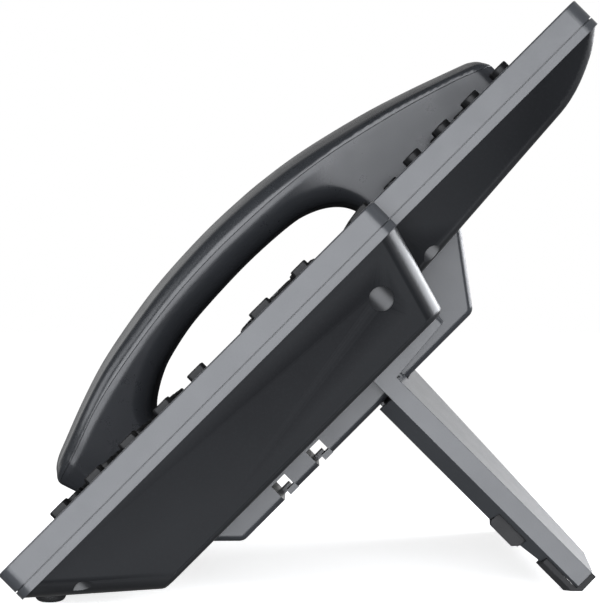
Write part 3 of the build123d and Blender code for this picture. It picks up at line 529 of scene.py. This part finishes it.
def surface_nets(f, lo, hi, h):
    """Closed quad mesh of f = 0 on a regular grid."""
    ax = [np.arange(lo[k], hi[k] + h, h) for k in range(3)]
    X, Y, Z = np.meshgrid(*ax, indexing="ij")
    V = f(X, Y, Z)
    s = V < 0
    nx, ny, nz = V.shape
    acc = np.zeros((nx - 1, ny - 1, nz - 1, 3))
    cnt = np.zeros((nx - 1, ny - 1, nz - 1))
    corners = [(i, j, k) for i in (0, 1) for j in (0, 1) for k in (0, 1)]

    def sub(a, c):
        return a[c[0]:nx - 1 + c[0], c[1]:ny - 1 + c[1], c[2]:nz - 1 + c[2]]
    for c0 in corners:
        for d in range(3):
            if c0[d]:
                continue
            c1 = list(c0)
            c1[d] = 1
            v0, v1 = sub(V, c0), sub(V, c1)
            m = (v0 < 0) != (v1 < 0)
            t = np.where(m, v0 / np.where(m, v0 - v1, 1), 0)
            for k in range(3):
                p = c0[k] + (t if k == d else 0)
                acc[..., k] += np.where(m, p, 0)
            cnt += m
    has = cnt > 0
    idx = -np.ones(has.shape, int)
    idx[has] = np.arange(has.sum())
    I, J, K = np.nonzero(has)
    p = acc[has] / cnt[has][:, None]
    verts = np.stack([ax[0][I], ax[1][J], ax[2][K]], 1) + p * h
    faces = []
    for d in range(3):
        sl0 = [slice(1, n - 1) for n in (nx, ny, nz)]
        sl1 = list(sl0)
        sl0[d] = slice(0, (nx, ny, nz)[d] - 1)
        sl1[d] = slice(1, (nx, ny, nz)[d])
        a, b = s[tuple(sl0)], s[tuple(sl1)]
        e = np.nonzero(a != b)
        off = [1, 1, 1]
        off[d] = 0
        g = [e[k] + off[k] for k in range(3)]
        o1, o2 = (d + 1) % 3, (d + 2) % 3

        def cell(da, db):
            q = [g[0].copy(), g[1].copy(), g[2].copy()]
            q[o1] = q[o1] - da
            q[o2] = q[o2] - db
            return idx[q[0], q[1], q[2]]
        quad = np.stack([cell(0, 0), cell(1, 0), cell(1, 1), cell(0, 1)], 1)
        flip = ~(a[e])
        quad[flip] = quad[flip][:, ::-1]
        faces.append(quad)
    faces = np.vstack(faces)
    return verts, faces[(faces >= 0).all(1)]


def project(f, verts, rounds=4):
    e = 0.05
    for _ in range(rounds):
        x, y, z = verts.T
        v = f(x, y, z)
        g = np.stack([f(x + e, y, z) - f(x - e, y, z), f(x, y + e, z) - f(x, y - e, z),
                      f(x, y, z + e) - f(x, y, z - e)], 1) / (2 * e)
        L = np.maximum((g * g).sum(1), 0.2)
        verts = verts - g * np.clip(v / L, -1, 1)[:, None]
    return verts


# -------------------------------------------------------------------- handset
HS_X = -75.0
OUTER = [(1.9, 9.9), (3.0, 12.6), (6.9, 16.0), (13.2, 18.7), (27.5, 24.2), (41.7, 28.7),
         (58.5, 32.1), (76.0, 34.5), (98.0, 35.5), (116.0, 34.9), (127.5, 33.8), (138.9, 32.1),
         (151.5, 29.4), (168.0, 25.1), (182.5, 20.4), (194.0, 16.3), (203.2, 12.9)]
# lower edge of the flat side band, where the underside's draft begins
BEND = [(-2.0, 8.1), (1.9, 8.4), (8.0, 9.2), (14.7, 10.6), (26.0, 14.4), (37.2, 17.6), (48.4, 20.3),
        (59.7, 22.6), (70.9, 24.0), (82.1, 24.9), (97.9, 25.3), (115.8, 24.7), (127.1, 23.9),
        (138.0, 22.9), (149.5, 21.3), (160.8, 19.0), (172.0, 16.2), (183.2, 12.9), (194.5, 9.4),
        (202.1, 6.6), (207.2, 4.6), (211.0, 3.0)]
# parting line, inside the band
SEAM = [(-2.0, 8.3), (1.9, 8.8), (6.0, 10.0), (14.7, 12.6), (26.0, 16.7), (30.0, 18.0),
        (37.2, 19.9), (48.4, 22.2), (60.0, 24.1), (70.9, 25.5), (82.1, 26.5), (98.0, 27.0),
        (115.8, 26.5), (127.1, 25.7), (138.0, 24.5), (150.0, 22.4), (160.8, 19.9), (172.0, 17.1),
        (180.0, 14.9), (194.5, 10.4), (202.1, 7.4), (207.2, 5.4), (211.0, 3.8)]
INNER = [(39.6, -2.15), (40.4, 1.2), (42.3, 4.6), (46.4, 7.9), (52.2, 11.2), (58.0, 13.4),
         (69.7, 16.0), (81.3, 17.1), (97.6, 17.7), (110.4, 17.4), (122.1, 16.4), (127.9, 15.05),
         (133.7, 12.4), (138.4, 8.6), (141.3, 3.9), (142.6, -2.15)]


def handset_field():
    outer = sample_curve(OUTER, 1.2)
    inner = sample_curve(INNER, 1.2)
    prof = np.vstack([outer, [(205.2, 11.6), (207.8, 7.2), (208.2, 4.6), (207.4, 1.0), (205.4, -2.15)],
                      inner[::-1], [(6.6, -2.15), (3.6, 4.0), (1.9, 8.6)]])
    P = Grid2D(prof, -6, 215, -8, 42, 0.5)
    e, w = 23.0, 20.5
    right = sample_curve([(e - 1.2, 11.0), (e, 26), (w + 0.6, 62), (w, 97), (w + 0.6, 134),
                          (e, 176), (e - 0.5, 198.0)], 1.2)
    top = sample_curve([(e - 0.5, 198.0), (e - 0.9, 202.6), (e - 3.4, 206.2), (e - 9, 207.9),
                        (0, 208.3), (-e + 9, 207.9), (-e + 3.4, 206.2), (-e + 0.9, 202.6),
                        (-e + 0.5, 198.0)], 1.2)
    bot = sample_curve([(-e + 1.2, 11.0), (-e + 2.8, 6.2), (-e + 6.5, 2.9), (-e + 13, 1.9),
                        (0, 1.7), (e - 13, 1.9), (e - 6.5, 2.9), (e - 2.8, 6.2), (e - 1.2, 11.0)],
                       1.2)
    left = right[::-1] * np.array([-1, 1])
    plan = np.vstack([right[:-1], top[:-1], left[:-1], bot[:-1]])
    L = Grid2D(plan, -28, 28, -6, 215, 0.5)
    su, sn = np.array(BEND).T

    def f(x, u, n):
        seam = np.interp(u, su, sn)
        below = np.maximum(seam - n, 0)
        # draft below the band: strong on the mouthpiece and grip, slight on the earpiece
        k = 0.30 - 0.255 * smooth(u, 122, 146)
        a = L(x, u) + k * below * 0.9
        top = smooth(n - seam, 0.5, 4.0)
        mid = smooth(u, 22, 70) * (1 - smooth(u, 140, 186))
        c = (2.3 + 1.1 * mid) * (x / 18.0) ** 2
        b = P(u, n + c * top)
        grip = smooth(u, 30, 40) * (1 - smooth(u, 138, 150))
        r = (3.4 - 1.2 * smooth(u, 140, 190)) * top + (1 - top) * (1.8 + 4.6 * grip)
        qa, qb = a + r, b + r
        return (np.minimum(np.maximum(qa, qb), 0)
                + np.sqrt(np.maximum(qa, 0) ** 2 + np.maximum(qb, 0) ** 2) - r) * 0.95
    return f


hs_f = handset_field()
hv, hf = surface_nets(hs_f, (-26, -1.5, -4), (26, 211.5, 39), 0.9)
hv = project(hs_f, hv)
hv[:, 0] += HS_X
whole = new_object("handset_whole", hv, hf, M_HANDSET)


def cutter(name, above):
    """A block that keeps what is above, or below, the parting line."""
    pts = sample_curve(SEAM, 2.0)
    gap = 0.04 if above else -0.04
    verts, faces = [], []
    far = 60.0 if above else -30.0
    k = len(pts)
    for x in (HS_X - 40, HS_X + 40):
        for (u, n) in pts:
            verts.append((x, u, n + gap))
        for (u, n) in pts:
            verts.append((x, u, far))
    for i in range(k - 1):
        a, b = i, i + 1
        faces.append((a, b, 2 * k + b, 2 * k + a))
        faces.append((k + b, k + a, 3 * k + a, 3 * k + b))
        faces.append((b, a, k + a, k + b))
        faces.append((2 * k + a, 2 * k + b, 3 * k + b, 3 * k + a))
    faces.append((0, 2 * k, 3 * k, k))
    faces.append((k - 1, 2 * k - 1, 4 * k - 1, 3 * k - 1))
    ob = new_object(name, verts, faces, M_HANDSET, False)
    bm = bmesh.new()
    bm.from_mesh(ob.data)
    bmesh.ops.recalc_face_normals(bm, faces=bm.faces)
    bm.to_mesh(ob.data)
    bm.free()
    return ob


def boolean(ob, other, op):
    md = ob.modifiers.new("cut", "BOOLEAN")
    md.operation = op
    md.solver = "EXACT"
    md.object = other
    dg = bpy.context.evaluated_depsgraph_get()
    me = bpy.data.meshes.new_from_object(ob.evaluated_get(dg))
    ob.modifiers.clear()
    ob.data = me


def copy_of(ob, name):
    c = ob.copy()
    c.data = ob.data.copy()
    c.name = name
    SC.collection.objects.link(c)
    return c


bm = bmesh.new()
bm.from_mesh(whole.data)
bmesh.ops.recalc_face_normals(bm, faces=bm.faces)
bm.to_mesh(whole.data)
bm.free()

hs_top = copy_of(whole, "handset_upper_cover")
hs_bot = copy_of(whole, "handset_lower_cover")
for ob, above in ((hs_top, True), (hs_bot, False)):
    cut = cutter("cut_%s" % above, above)
    bpy.context.view_layer.update()
    boolean(ob, cut, "INTERSECT")
    bpy.data.objects.remove(cut)
bpy.data.objects.remove(whole)


def sharp_smooth(ob, deg):
    """Smooth shading, with edges over the angle kept sharp."""
    bm = bmesh.new()
    bm.from_mesh(ob.data)
    bmesh.ops.remove_doubles(bm, verts=bm.verts, dist=0.01)
    for f in bm.faces:
        f.smooth = True
    for e in bm.edges:
        if len(e.link_faces) == 2:
            e.smooth = e.calc_face_angle(0.0) < math.radians(deg)
    bm.to_mesh(ob.data)
    bm.free()
    ob.data.update()


def skin_normals(ob, f):
    """Per-corner normals: the field's own on the outer skin, the face's on the parting cut."""
    me = ob.data
    co = np.empty(len(me.vertices) * 3)
    me.vertices.foreach_get("co", co)
    p = co.reshape(-1, 3) - np.array([HS_X, 0.0, 0.0])
    x, u, n = p[:, 0], p[:, 1], p[:, 2]
    h = 0.8
    g = np.stack([f(x + h, u, n) - f(x - h, u, n), f(x, u + h, n) - f(x, u - h, n),
                  f(x, u, n + h) - f(x, u, n - h)], 1)
    g /= np.maximum(np.linalg.norm(g, axis=1), 1e-9)[:, None]
    skin = np.abs(f(x, u, n)) < 0.2
    vi = np.empty(len(me.loops), dtype=np.int32)
    me.loops.foreach_get("vertex_index", vi)
    total = np.empty(len(me.polygons), dtype=np.int32)
    me.polygons.foreach_get("loop_total", total)
    pn = np.empty(len(me.polygons) * 3)
    me.polygons.foreach_get("normal", pn)
    pn = np.repeat(pn.reshape(-1, 3), total, axis=0)
    use = skin[vi] & ((g[vi] * pn).sum(1) > 0.6)
    return np.where(use[:, None], g[vi], pn)


for ob, mat, node in ((hs_top, M_HANDSET, "handset_top_shell"),
                      (hs_bot, M_HANDSET_LOW, "handset_bottom_shell")):
    sharp_smooth(ob, 58)
    ob.data.materials.clear()
    ob.data.materials.append(mat)
    corner = skin_normals(ob, hs_f)
    place_flat(ob)
    turn = np.array([[1, 0, 0], [0, C45, -C45], [0, C45, C45]])
    ob.data.normals_split_custom_set((corner @ turn.T).tolist())
    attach(ob, "handset")
    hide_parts(node)


# ---------------------------------------------------------------- small parts
def disc_pieces(name, centres, r, n0, n1, mat, body):
    """Short chamfered pins or recess plugs, drawn at (x, u), as one mesh."""
    bm = bmesh.new()
    for (x, u) in centres:
        rings = [(r, n0), (r, n1 - 0.12 * (1 if n1 > n0 else -1)), (r * 0.86, n1)]
        loops = []
        for (rr, n) in rings:
            loops.append([bm.verts.new((x + rr * math.cos(a), u + rr * math.sin(a), n))
                          for a in [2 * math.pi * i / 20 for i in range(20)]])
        for a, b in zip(loops, loops[1:]):
            for i in range(20):
                j = (i + 1) % 20
                bm.faces.new((a[i], a[j], b[j], b[i]))
        bm.faces.new(loops[0][::-1])
        bm.faces.new(loops[-1])
    bmesh.ops.recalc_face_normals(bm, faces=bm.faces)
    me = bpy.data.meshes.new(name)
    bm.to_mesh(me)
    bm.free()
    ob = bpy.data.objects.new(name, me)
    SC.collection.objects.link(ob)
    me.materials.append(mat)
    place_flat(ob)
    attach(ob, body)
    return ob


def ring_pts(cx, cu, r, k, ph=0.0):
    return [(cx + r * math.cos(2 * math.pi * i / k + ph), cu + r * math.sin(2 * math.pi * i / k + ph))
            for i in range(k)]


# painted shade: flat dark discs on the underside stand in for the receiver and microphone sound holes
ear = [(HS_X, 178.0)] + ring_pts(HS_X, 178, 3.2, 6) + ring_pts(HS_X, 178, 6.4, 12, 0.2)
disc_pieces("receiver_hole_shade_discs", ear, 0.75, -1.95, -2.28, M_CLOTH_AND_HOLE_SHADE, "handset")
disc_pieces("microphone_hole_shade_discs", [(HS_X - 3, 20), (HS_X, 20), (HS_X + 3, 20)], 0.7, -1.95, -2.28,
            M_CLOTH_AND_HOLE_SHADE, "handset")


# ---------------------------------------------------------------- the display
def flat_grid(name, x0, x1, u0, u1, n, k, mat, body, thick=0.04):
    nx = max(2, int((x1 - x0) / k))
    nu = max(2, int((u1 - u0) / k))
    bm = bmesh.new()
    top = [[bm.verts.new((x0 + (x1 - x0) * i / nx, u0 + (u1 - u0) * j / nu, n))
            for j in range(nu + 1)] for i in range(nx + 1)]
    for i in range(nx):
        for j in range(nu):
            bm.faces.new((top[i][j], top[i + 1][j], top[i + 1][j + 1], top[i][j + 1]))
    res = bmesh.ops.extrude_face_region(bm, geom=list(bm.faces))
    for v in [g for g in res["geom"] if isinstance(g, bmesh.types.BMVert)]:
        v.co.z -= thick
    bmesh.ops.recalc_face_normals(bm, faces=bm.faces)
    me = bpy.data.meshes.new(name)
    bm.to_mesh(me)
    bm.free()
    ob = bpy.data.objects.new(name, me)
    SC.collection.objects.link(ob)
    me.materials.append(mat)
    place_flat(ob)
    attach(ob, body)
    return ob


flat_grid("display_image", 15 - 43.4, 15 + 43.4, 170 - 27.4, 170 + 27.4, -1.70 - 0.004, 6.0, M_SCREEN,
          "base", 0.035)


# ------------------------------------------------------------------- legends
def text_piece(name, body_text, size, x, u, n, body, mat=None):
    cu = bpy.data.curves.new(name, "FONT")
    cu.body = body_text
    cu.size = size
    cu.align_x = "CENTER"
    cu.align_y = "CENTER"
    cu.extrude = 0.03
    cu.resolution_u = 4
    ob = bpy.data.objects.new(name, cu)
    SC.collection.objects.link(ob)
    bpy.context.view_layer.update()
    dg = bpy.context.evaluated_depsgraph_get()
    me = bpy.data.meshes.new_from_object(ob.evaluated_get(dg))
    bpy.data.objects.remove(ob)
    ob = bpy.data.objects.new(name, me)
    SC.collection.objects.link(ob)
    bm = bmesh.new()
    bm.from_mesh(me)
    bmesh.ops.remove_doubles(bm, verts=bm.verts, dist=0.002)
    bmesh.ops.triangulate(bm, faces=bm.faces)
    bmesh.ops.recalc_face_normals(bm, faces=bm.faces)
    zmid = 0.0
    bm.to_mesh(me)
    bm.free()
    me.transform(Matrix.Translation((x, u, n)))
    me.materials.clear()
    me.materials.append(mat or M_PRINT)
    place_flat(ob)
    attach(ob, body)
    return ob


DIAL_U = [18.1, 31.0, 43.9, 56.8]
DIAL = [["star", "0", "hash"], ["7", "8", "9"], ["4", "5", "6"], ["1", "2", "3"]]


def poly_piece(name, polys, n, thick, mat, body):
    """Flat printed shapes, each a closed outline in (x, u)."""
    bm = bmesh.new()
    for pts in polys:
        lo = [bm.verts.new((p[0], p[1], n - thick)) for p in pts]
        hi = [bm.verts.new((p[0], p[1], n)) for p in pts]
        bm.faces.new(hi)
        bm.faces.new(lo[::-1])
        for i in range(len(pts)):
            j = (i + 1) % len(pts)
            bm.faces.new((lo[i], lo[j], hi[j], hi[i]))
    bmesh.ops.recalc_face_normals(bm, faces=bm.faces)
    me = bpy.data.meshes.new(name)
    bm.to_mesh(me)
    bm.free()
    ob = bpy.data.objects.new(name, me)
    SC.collection.objects.link(ob)
    me.materials.append(mat)
    place_flat(ob)
    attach(ob, body)
    return ob


def bar_poly(cx, cu, w, h, ang=0.0):
    c, s = math.cos(math.radians(ang)), math.sin(math.radians(ang))
    return [(cx + a * w / 2 * c - b * h / 2 * s, cu + a * w / 2 * s + b * h / 2 * c)
            for a, b in ((-1, -1), (1, -1), (1, 1), (-1, 1))]


for row, u in enumerate(DIAL_U):
    for col in range(3):
        key = DIAL[row][col]
        x = 15.0 + (col - 1) * 17.5
        body = "dial_key_" + key
        if key == "star":
            polys = [bar_poly(x, u, 2.9, 0.42, a) for a in (90, 30, 150)]
            for i, p in enumerate(polys):
                poly_piece("legend_star_%d" % i, [p], 2.03 + 0.004 * i, 0.06, M_PRINT, body)
        elif key == "hash":
            for i, p in enumerate([bar_poly(x - 0.55, u, 3.1, 0.38, 82), bar_poly(x + 0.55, u, 3.1, 0.38, 82),
                                   bar_poly(x, u + 0.55, 3.0, 0.38), bar_poly(x, u - 0.55, 3.0, 0.38)]):
                poly_piece("legend_hash_%d" % i, [p], 2.03 + 0.004 * (i // 2), 0.06, M_PRINT, body)
        else:
            text_piece("legend_%s" % key, key, 4.4, x, u, 2.01, body)

for name, ang in (("right", 0), ("up", 90), ("left", 180), ("down", 270)):
    c, s = math.cos(math.radians(ang)), math.sin(math.radians(ang))
    tri = [(10.8, 1.25), (10.8, -1.25), (13.0, 0.0)]
    pts = [(15 + a * c - b * s, 101 + a * s + b * c) for a, b in tri]
    poly_piece("legend_arrow_" + name, [pts], 1.73, 0.10, M_PRINT, "nav_key_" + name)
ring = [(15 + 1.5 * math.cos(t), 101 + 1.5 * math.sin(t)) for t in
        [2 * math.pi * i / 28 for i in range(28)]]
poly_piece("legend_center", [ring], 1.98, 0.06, M_PRINT, "nav_key_center")
SIDE_X = 84.1
poly_piece("legend_minus", [bar_poly(SIDE_X, 21.5, 2.6, 0.42)], 2.03, 0.06, M_PRINT, "function_key_1")
poly_piece("legend_plus_a", [bar_poly(SIDE_X, 34.1, 2.6, 0.42)], 2.03, 0.06, M_PRINT, "function_key_2")
poly_piece("legend_plus_b", [bar_poly(SIDE_X, 34.1, 2.6, 0.42, 90)], 2.034, 0.06, M_PRINT,
           "function_key_2")
dot = [(SIDE_X + 0.7 * math.cos(t), 46.8 + 0.7 * math.sin(t)) for t in
       [2 * math.pi * i / 20 for i in range(20)]]
poly_piece("legend_dot", [dot], 2.03, 0.06, M_PRINT, "function_key_3")
poly_piece("legend_wedge", [[(SIDE_X - 1.3, 59.0), (SIDE_X - 0.4, 59.0), (SIDE_X + 0.9, 58.0),
                             (SIDE_X + 0.9, 61.0), (SIDE_X - 0.4, 60.0), (SIDE_X - 1.3, 60.0)]],
           2.03, 0.06, M_PRINT, "function_key_4")
poly_piece("legend_bars", [bar_poly(SIDE_X, 73.0, 2.6, 0.36), bar_poly(SIDE_X, 72.2, 2.6, 0.36),
                           bar_poly(SIDE_X, 71.4, 2.6, 0.36)], 2.03, 0.06, M_PRINT, "function_key_5")

# dark cloth behind the loudspeaker slots
flat_grid("loudspeaker_cloth", -75 - 16.5, -75 + 16.5, 80.5, 115.5, -2.28, 2.0, M_CLOTH_AND_HOLE_SHADE, "base",
          0.12)


# --------------------------------------------------- stage, lights and camera
def stage_material():
    """Pale studio floor: soft shadow near the feet, melting into the backdrop further off."""
    m = Mat("studio_white")
    w = m.noise(3.0, 2.0, 0.5)
    base = m.mix(m.ramp(w, 0.3, 0.7), rgb(0.86, 0.86, 0.86), rgb(0.90, 0.90, 0.90))
    ln = m.node("ShaderNodeVectorMath", operation="LENGTH")
    m.link(m.coord, ln.inputs[0])
    off = m.ramp(ln.outputs["Value"], 0.10, 0.34)
    m.done(base=m.mix(off, base, rgb(0, 0, 0)), rough=0.9, spec=0.0, emit=rgb(1, 1, 1),
           emit_s=m.math("ADD", 0.78, m.math("MULTIPLY", off, 0.26)))
    clear = m.node("ShaderNodeBsdfTransparent")
    lp = m.node("ShaderNodeLightPath")
    mx = m.node("ShaderNodeMixShader")
    gm = m.node("ShaderNodeNewGeometry")
    seen = m.math("MULTIPLY", lp.outputs["Is Camera Ray"],
                  m.math("SUBTRACT", 1.0, gm.outputs["Backfacing"]))
    m.link(seen, mx.inputs[0])
    m.link(clear.outputs[0], mx.inputs[1])
    m.link(m.p.outputs[0], mx.inputs[2])
    m.link(mx.outputs[0], m.out.inputs[0])
    return m.m


M_STAGE = stage_material()
sv = [(x, y, -0.0001) for x in (1.6, 0.9, 0.5, 0.2, -0.2, -0.6, -1.2, -2.2, -4.0)
      for y in (-3.0, -1.2, -0.4, 0.0, 0.4, 1.2, 3.0)]
sf = [(7 * i + j, 7 * i + j + 1, 7 * i + j + 8, 7 * i + j + 7) for i in range(8) for j in range(6)]
floor = new_object("studio_floor", sv, sf, M_STAGE)

wd = bpy.data.worlds.new("studio_world")
SC.world = wd
wd.use_nodes = True
wt = wd.node_tree
for n in list(wt.nodes):
    wt.nodes.remove(n)
wn, wl = wt.nodes, wt.links
geo = wn.new("ShaderNodeNewGeometry")
sep = wn.new("ShaderNodeSeparateXYZ")
wl.new(geo.outputs["Incoming"], sep.inputs[0])


def wmath(op, a, b=0.0):
    n = wn.new("ShaderNodeMath")
    n.operation = op
    for sck, v in zip(n.inputs, (a, b)):
        if isinstance(v, bpy.types.NodeSocket):
            wl.new(v, sck)
        else:
            sck.default_value = v
    return n.outputs[0]


def wramp(v, lo, hi, a, b):
    n = wn.new("ShaderNodeMapRange")
    n.interpolation_type = "SMOOTHSTEP"
    wl.new(v, n.inputs["Value"])
    for k, q in (("From Min", lo), ("From Max", hi), ("To Min", a), ("To Max", b)):
        n.inputs[k].default_value = q
    return n.outputs["Result"]


# the Incoming vector points back along the ray, so +X here means a ray towards -X
far = wramp(sep.outputs[0], 0.25, 0.75, 0.0, 1.25)          # the white backdrop
under = wramp(sep.outputs[2], -0.04, 0.12, 1.0, 0.12)        # the desk side stays dim
over = wramp(sep.outputs[2], -0.44, -0.30, 0.35, 1.0)        # and it falls off overhead
level = wmath("ADD", wmath("MULTIPLY", wmath("MULTIPLY", far, under), over), 0.07)
bg = wn.new("ShaderNodeBackground")
bg.inputs[0].default_value = (1, 1, 1, 1)
wl.new(level, bg.inputs[1])
white = wn.new("ShaderNodeBackground")
white.inputs[0].default_value = (1, 1, 1, 1)
white.inputs[1].default_value = 1.0
lp = wn.new("ShaderNodeLightPath")
mixw = wn.new("ShaderNodeMixShader")
wl.new(lp.outputs["Is Camera Ray"], mixw.inputs[0])
wl.new(bg.outputs[0], mixw.inputs[1])
wl.new(white.outputs[0], mixw.inputs[2])
wo = wn.new("ShaderNodeOutputWorld")
wl.new(mixw.outputs[0], wo.inputs[0])


def softbox(name, at, aim, w, h, radiance, roll=0.0):
    """A rectangular light of the given radiance, facing aim."""
    li = bpy.data.lights.new(name, "AREA")
    li.shape = "RECTANGLE"
    li.size, li.size_y = w, h
    li.energy = radiance * math.pi * w * h
    ob = bpy.data.objects.new(name, li)
    SC.collection.objects.link(ob)
    d = (Vector(aim) - Vector(at)).normalized()
    ob.location = at
    ob.rotation_mode = "QUATERNION"
    ob.rotation_quaternion = d.to_track_quat("-Z", "Y")
    if roll:
        ob.rotation_quaternion = ob.rotation_quaternion @ Matrix.Rotation(
            math.radians(roll), 4, "Z").to_quaternion()
    return ob


AIM = (0.0, 0.0, 0.08)
softbox("light_behind_camera", (0.66, -0.018, 0.060), (0, -0.018, 0.060), 0.67, 0.67, 6.6)
softbox("light_back_low", (-0.30, 1.25, 0.47), (0.05, 0.02, 0.08), 1.7, 0.46, 15.0)
softbox("light_front_low", (0.46, -0.87, 0.42), (0.0, -0.04, 0.08), 0.55, 0.42, 4.6)
for o in bpy.data.objects:
    if o.type == "LIGHT":
        o.data.color = (0.965, 0.985, 1.03)

cam = bpy.data.cameras.new("camera")
cam.sensor_width = 36.0
cam.lens = 110.03
cam.clip_start = 0.02
cam_ob = bpy.data.objects.new("camera", cam)
SC.collection.objects.link(cam_ob)
eye = world(0, 104.6, -4.98)
cam_ob.location = (0.569, eye.y, eye.z - 0.00013)
cam_ob.rotation_euler = (math.radians(90), 0, math.radians(90))
SC.camera = cam_ob
SC.view_settings.view_transform = "Standard"
SC.view_settings.look = "None"
